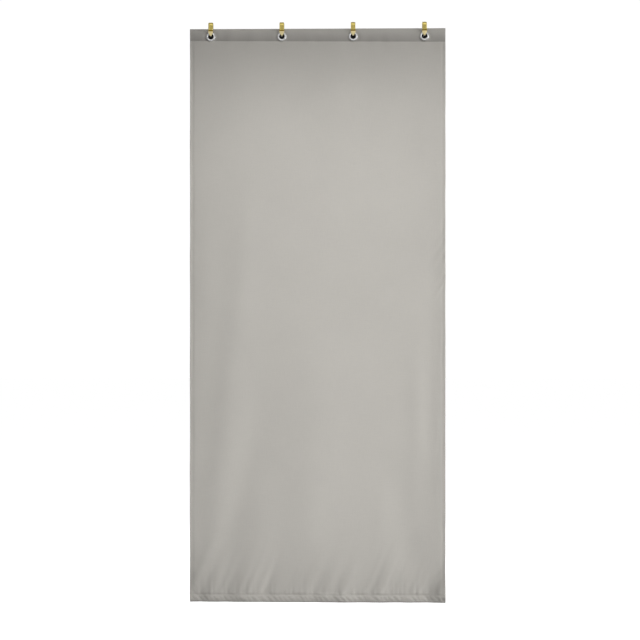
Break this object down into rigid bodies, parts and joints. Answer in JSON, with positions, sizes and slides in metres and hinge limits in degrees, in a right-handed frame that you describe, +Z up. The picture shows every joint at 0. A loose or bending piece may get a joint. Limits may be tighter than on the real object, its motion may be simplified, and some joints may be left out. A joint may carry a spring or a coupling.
{
  "type": "fabric room curtain panel",
  "caption": "Flat hanging cloth panel with a stiffened header, hemmed edges and metal eyelets, hung from a rod by brass strap hooks.",
  "frame": {"origin": "on the axis of the rod that the hooks hang on, midway across the panel", "axes": "+Z up; -Y is the front that faces the room; +X runs along the rod, to the right as seen from the front"},
  "size_m": [0.9144, 0.027, 2.0765],
  "materials": {
    "cloth": "warm grey satin weave",
    "stiffener": "matt buckram",
    "thread": "spun polyester",
    "nickel": "bright nickel plate",
    "nylon": "moulded black",
    "brass": "satin brass"
  },
  "bodies": {
    "hook_1": {"hook_1": "brass"},
    "hook_2": {"hook_2": "brass"},
    "hook_3": {"hook_3": "brass"},
    "hook_4": {"hook_4": "brass"},
    "panel": {"panel_cloth": "cloth", "header_fold": "cloth", "header_stiffener": "stiffener", "bottom_hem": "cloth", "left_hem": "cloth", "right_hem": "cloth", "header_seam": "thread", "bottom_seam": "thread", "left_seam": "thread", "right_seam": "thread", "eyelet_1": "nickel", "eyelet_2": "nickel", "eyelet_3": "nickel", "eyelet_4": "nickel", "washer_1": "nickel", "washer_2": "nickel", "washer_3": "nickel", "washer_4": "nickel", "bush_1": "nylon", "bush_2": "nylon", "bush_3": "nylon", "bush_4": "nylon"}
  },
  "joints": [
    {"name": "panel_swing", "type": "hinge", "parent": "hook_1", "child": "panel", "pos_m": [-0.3825, -0.0012, -0.0369], "axis": [1, 0, 0], "range_deg": [-15, 15]},
    {"name": "hook_2_rock", "type": "hinge", "parent": "panel", "child": "hook_2", "pos_m": [-0.1275, -0.0012, -0.0369], "axis": [1, 0, 0], "range_deg": [-15, 15]},
    {"name": "hook_3_rock", "type": "hinge", "parent": "panel", "child": "hook_3", "pos_m": [0.1275, -0.0012, -0.0369], "axis": [1, 0, 0], "range_deg": [-15, 15]},
    {"name": "hook_4_rock", "type": "hinge", "parent": "panel", "child": "hook_4", "pos_m": [0.3825, -0.0012, -0.0369], "axis": [1, 0, 0], "range_deg": [-15, 15]}
  ],
  "couplings": [
    {"joint": "hook_2_rock", "follows": "panel_swing", "ratio": -1},
    {"joint": "hook_3_rock", "follows": "panel_swing", "ratio": -1},
    {"joint": "hook_4_rock", "follows": "panel_swing", "ratio": -1}
  ]
}
